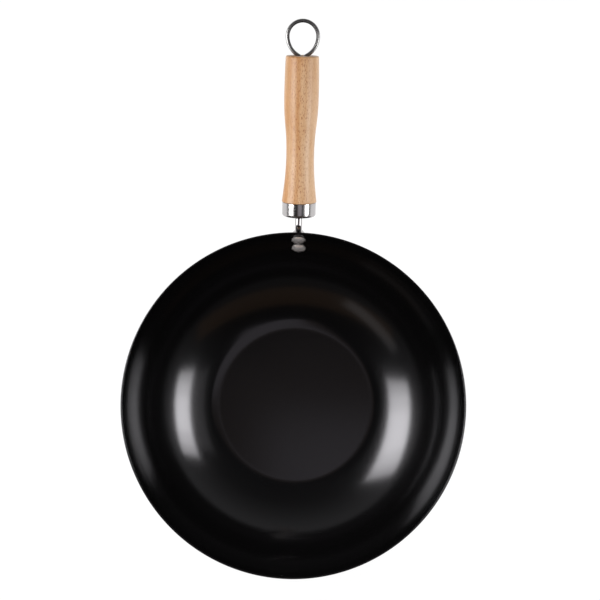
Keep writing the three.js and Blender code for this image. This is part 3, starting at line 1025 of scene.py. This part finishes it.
class WOK_OT_grip(bpy.types.Operator):
    """Make the turned wooden grip with its tenon, bore and counterbore"""

    bl_idname = "wok.grip"
    bl_label = "Grip"

    def execute(self, context):
        wok = context.scene.wok
        mesh = self.outline(wok).turned(TURNED_FACETS)
        piece = finish_piece(context, "turned_grip", mesh, [lacquered_beech(wok)], handle_frame(wok))
        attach(piece, "pan")
        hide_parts("wooden_grip")
        return {"FINISHED"}

    def outline(self, wok):
        """Half section of the grip along the handle."""
        grip = wok.grip
        gap = wok.bowl.seat_gap
        start = grip_start(wok)
        end = grip_end(wok)
        waist = start + grip.waist_at
        swell = start + grip.swell_at
        end_round = end - grip.end_round
        bore = wok.rod.radius + gap
        tenon = wok.ferrule.radius - wok.ferrule.sheet - gap
        tenon_foot = wok.ferrule.sheet + gap
        tenon_round = wok.ferrule.corner - wok.ferrule.sheet
        mouth = grip.counterbore_radius
        floor = end - grip.counterbore_depth
        shoulder = grip.shoulder_radius
        pen = Outline(bore, tenon_foot)
        pen.line(tenon - tenon_round, tenon_foot)
        pen.arc((tenon - tenon_round, tenon_foot + tenon_round), QUARTER, CORNER_STEPS)
        pen.line(tenon, start)
        pen.line(shoulder - grip.shoulder_round, start)
        pen.arc((shoulder - grip.shoulder_round, start + grip.shoulder_round), QUARTER, CORNER_STEPS)
        pen.curve(
            (shoulder - grip.flare_fall, start + grip.flare_run),
            (grip.waist_radius, waist - grip.waist_run),
            (grip.waist_radius, waist),
            CURVE_STEPS,
        )
        pen.curve(
            (grip.waist_radius, waist + grip.swell_run),
            (grip.swell_radius, swell - grip.swell_run),
            (grip.swell_radius, swell),
            CURVE_STEPS,
        )
        pen.curve(
            (grip.swell_radius, swell + grip.swell_run / 2),
            (grip.end_radius + grip.end_fall, end_round - grip.end_run),
            (grip.end_radius, end_round),
            CURVE_STEPS,
        )
        pen.arc((grip.end_radius - grip.end_round, end_round), QUARTER, CORNER_STEPS)
        pen.line(mouth + grip.counterbore_chamfer, end)
        pen.line(mouth, end - grip.counterbore_chamfer)
        pen.line(mouth, floor)
        pen.line(bore, floor)
        pen.close()
        return pen


class WOK_OT_eye(bpy.types.Operator):
    """Make the wire loop and finish the sleeve and washer that hold it"""

    bl_idname = "wok.eye"
    bl_label = "Hanging eye"

    def execute(self, context):
        wok = context.scene.wok
        piece = finish_piece(context, "wire_loop", self.loop(wok), [eye_plate(wok)], handle_frame(wok))
        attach(piece, "eye")
        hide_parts("hanging_loop")
        for node in ("clamp_washer", "eye_sleeve"):
            for material_slot in frame["nodes"][node].material_slots:
                material_slot.material = shared_metal(wok, "zinc_plate")
        return {"FINISHED"}

    def loop(self, wok):
        """Wire bent to two legs and a round eye, with Z along the handle."""
        eye = wok.eye
        half = eye.leg_spacing / 2
        mouth = sleeve_start(wok) + eye.sleeve_length
        eye_height = eye_centre(wok)
        rise = eye_height - mouth
        spread = 2 * math.atan2(eye.loop_radius - half, rise)
        side_radius = rise / math.sin(spread) - eye.leg_bend_radius
        bend_x = half + eye.leg_bend_radius
        side_x = eye.loop_radius - side_radius
        wire = Wire(eye.wire_radius, WIRE_FACETS, (half, 0.0, mouth - eye.leg_insert))
        wire.push((0.0, 0.0, eye.leg_insert))
        wire.bend((bend_x, 0.0, mouth), -spread, CORNER_STEPS)
        wire.bend((side_x, 0.0, eye_height), spread, CURVE_STEPS)
        wire.bend((0.0, 0.0, eye_height), math.pi, 2 * CURVE_STEPS)
        wire.bend((-side_x, 0.0, eye_height), spread, CURVE_STEPS)
        wire.bend((-bend_x, 0.0, mouth), -spread, CORNER_STEPS)
        wire.push((0.0, 0.0, -eye.leg_insert))
        return wire.cut()


class Studio:
    """Soft lights round the wok, hidden from the camera."""

    def __init__(self, context, distance):
        self.objects = context.scene.collection.objects
        self.distance = distance

    def light(self, name, position, turn, size, radiance, tint):
        """Rectangular soft light."""
        width, height = size
        data = bpy.data.lights.new(name, "AREA")
        data.shape = "RECTANGLE"
        data.size = width
        data.size_y = height
        data.color = tint
        data.energy = radiance * math.pi * width * height
        light = bpy.data.objects.new(name, data)
        light.location = position
        light.rotation_euler = turn.to_euler()
        light.visible_camera = False
        self.objects.link(light)
        return light

    def aim(self, position, target):
        """Turn that points a light at a target."""
        return (target - position).to_track_quat("-Z", "Y")

    def around_bowl(self, azimuth, zenith):
        """Point at the lights' distance from the bowl, at an azimuth and a zenith angle in degrees."""
        turn = math.radians(azimuth)
        down = math.radians(zenith)
        level = math.sin(down)
        direction = Vector((level * math.cos(turn), level * math.sin(turn), math.cos(down)))
        return BOWL_MIDDLE + self.distance * direction

    def soft_box(self, name, azimuth, zenith, roll, size, radiance):
        """Soft box aimed at the bowl, dimmer towards its two ends."""
        width, height = size
        middle = self.around_bowl(azimuth, zenith)
        turn = self.aim(middle, BOWL_MIDDLE) @ Euler((0.0, 0.0, math.radians(roll))).to_quaternion()
        for number, panel in enumerate(BOX_PANELS):
            position = middle + turn @ Vector((panel.place * width, 0.0, 0.0))
            panel_size = (panel.width * width, height)
            self.light(f"{name}_{number}", position, turn, panel_size, panel.radiance * radiance, PLAIN)

    def fill(self, name, azimuth, zenith, size, radiance, tint=PLAIN):
        """Dim light aimed at the bowl."""
        position = self.around_bowl(azimuth, zenith)
        self.light(name, position, self.aim(position, BOWL_MIDDLE), size, radiance, tint)

    def matte_fill(self, name, position, size, radiance):
        """Light aimed at the grip that no glossy surface mirrors."""
        turn = self.aim(Vector(position), GRIP_MIDDLE)
        self.light(name, position, turn, size, radiance, PLAIN).visible_glossy = False

    def level_strip(self, name, position, size, radiance, tint):
        """Light that lies level overhead and shines straight down."""
        self.light(name, position, Quaternion(), size, radiance, tint)


class WOK_OT_stage(bpy.types.Operator):
    """Make the floor, the studio light and the camera"""

    bl_idname = "wok.stage"
    bl_label = "Stage"

    def execute(self, context):
        wok = context.scene.wok
        self.floor(context, wok)
        self.camera(context, wok.stage)
        self.lights(context, wok.stage)
        self.world(context)
        context.scene.view_settings.view_transform = "Standard"
        return {"FINISHED"}

    def floor(self, context, wok):
        """Pale round floor that keeps a soft shadow."""
        stage = wok.stage
        mesh = bmesh.new()
        bmesh.ops.create_circle(mesh, cap_ends=True, radius=stage.floor_radius, segments=SMALL_FACETS)
        material = bpy.data.materials.new("pale_floor")
        material.use_nodes = True
        tree = material.node_tree
        tree.nodes.clear()
        pale = add(tree, "BsdfDiffuse", {"Color": opaque(wok.finishes.floor)}).outputs["BSDF"]
        white = add(tree, "Emission", {"Strength": stage.floor_white}).outputs["Emission"]
        path = add(tree, "LightPath").outputs
        seen = maths(tree, "MAXIMUM", path["Is Camera Ray"], path["Is Glossy Ray"])
        through = maths(tree, "MAXIMUM", seen, path["Is Transmission Ray"])
        share = maths(tree, "MULTIPLY", through, stage.floor_glow)
        mixed = add(tree, "MixShader", {"Fac": share, 1: pale, 2: white})
        add(tree, "OutputMaterial", {"Surface": mixed.outputs["Shader"]})
        drop = Matrix.Translation((0.0, 0.0, -stage.floor_drop))
        floor = finish_piece(context, "floor", mesh, [material], drop)

    def camera(self, context, stage):
        """Camera above the bowl, as in the photograph."""
        data = bpy.data.cameras.new("camera")
        data.lens = stage.camera_lens
        data.sensor_width = SENSOR_WIDTH
        data.clip_end = VIEW_DEPTH
        camera = bpy.data.objects.new("camera", data)
        camera.rotation_mode = "ZXY"
        camera.rotation_euler = Euler((stage.camera_lean, stage.camera_swing, stage.camera_roll), "ZXY")
        camera.location = stage.camera_place
        context.scene.collection.objects.link(camera)
        context.scene.camera = camera

    def lights(self, context, stage):
        """Soft boxes to the left and right, dim fills and dim level strips overhead."""
        studio = Studio(context, stage.light_distance)
        box = stage.soft_box_radiance
        strip = stage.strip_radiance
        studio.soft_box(
            "left_soft_box", azimuth=167.0, zenith=51.9, roll=11.0, size=(0.459, 0.26), radiance=box
        )
        studio.soft_box(
            "right_soft_box", azimuth=7.1, zenith=56.5, roll=-4.0, size=(0.41, 0.182), radiance=0.92 * box
        )
        studio.fill("right_fill", azimuth=6.0, zenith=38.8, size=(0.345, 0.133), radiance=0.04 * box)
        studio.fill(
            "front_fill", azimuth=270.0, zenith=53.9, size=(1.38, 0.212), radiance=0.29 * strip, tint=WARM
        )
        studio.fill("corner_fill", azimuth=226.0, zenith=59.2, size=(0.32, 0.106), radiance=0.9 * strip)
        studio.matte_fill("side_fill", position=(0.5, 0.25, 0.04), size=(0.3, 0.06), radiance=0.95 * box)
        studio.matte_fill("top_fill", position=(0.0, 0.25, 0.9), size=(0.5, 0.5), radiance=0.19 * box)
        studio.level_strip(
            "overhead_strip", position=(0.275, -0.465, 1.6), size=(0.75, 0.89), radiance=strip, tint=COOL
        )
        studio.level_strip(
            "overhead_rear",
            position=(0.275, 0.07, 1.6),
            size=(0.75, 0.18),
            radiance=0.24 * strip,
            tint=FAINT_WARM,
        )
        studio.level_strip(
            "overhead_edge",
            position=(-0.18, -0.405, 1.6),
            size=(0.16, 1.01),
            radiance=0.27 * strip,
            tint=FAINT_WARM,
        )

    def world(self, context):
        """Dim room that grows pale towards the horizon, most of all behind the handle."""
        world = bpy.data.worlds.new("studio")
        context.scene.world = world
        world.use_nodes = True
        tree = world.node_tree
        tree.nodes.clear()
        direction = add(tree, "TexCoord").outputs["Generated"]
        split = add(tree, "SeparateXYZ", {"Vector": direction}).outputs
        ramp = add(tree, "ValToRGB", {"Fac": split["Z"]})
        stops = ramp.color_ramp.elements
        level, *between, overhead = ROOM_LIGHT
        for stop, (height, tint) in zip(stops, (level, overhead)):
            stop.position = height
            stop.color = opaque(tint)
        for height, tint in between:
            stops.new(height).color = opaque(tint)
        side = remap(tree, split["Y"], low=-0.6, high=0.3, to_low=0.2, to_high=1.0)
        background = add(tree, "Background", {"Color": ramp.outputs["Color"], "Strength": side})
        add(tree, "OutputWorld", {"Surface": background.outputs["Background"]})


PIECE_OPERATORS = (
    WOK_OT_bowl,
    WOK_OT_rivets,
    WOK_OT_rod,
    WOK_OT_ferrule,
    WOK_OT_grip,
    WOK_OT_eye,
    WOK_OT_stage,
)


class WOK_PT_sidebar(bpy.types.Panel):
    """Lists the steps that make the wok"""

    bl_label = "Wok"
    bl_idname = "WOK_PT_sidebar"
    bl_space_type = "VIEW_3D"
    bl_region_type = "UI"
    bl_category = "Wok"

    def draw(self, context):
        for operator in PIECE_OPERATORS:
            self.layout.operator(operator.bl_idname)


CLASSES = (
    BowlSizes,
    RivetSizes,
    RodSizes,
    FerruleSizes,
    GripSizes,
    EyeSizes,
    Finishes,
    StageSettings,
    WokSettings,
    *PIECE_OPERATORS,
    WOK_PT_sidebar,
)


def register():
    """Registers the classes and hangs the settings on the scene."""
    for item in CLASSES:
        bpy.utils.register_class(item)
    bpy.types.Scene.wok = PointerProperty(type=WokSettings)


def unregister():
    """Takes the settings and the classes away again."""
    del bpy.types.Scene.wok
    for item in reversed(CLASSES):
        bpy.utils.unregister_class(item)


def main():
    """Makes every piece and the stage."""
    register()
    bpy.ops.wok.bowl()
    bpy.ops.wok.rivets()
    bpy.ops.wok.rod()
    bpy.ops.wok.ferrule()
    bpy.ops.wok.grip()
    bpy.ops.wok.eye()
    bpy.ops.wok.stage()


if __name__ == "__main__":
    main()
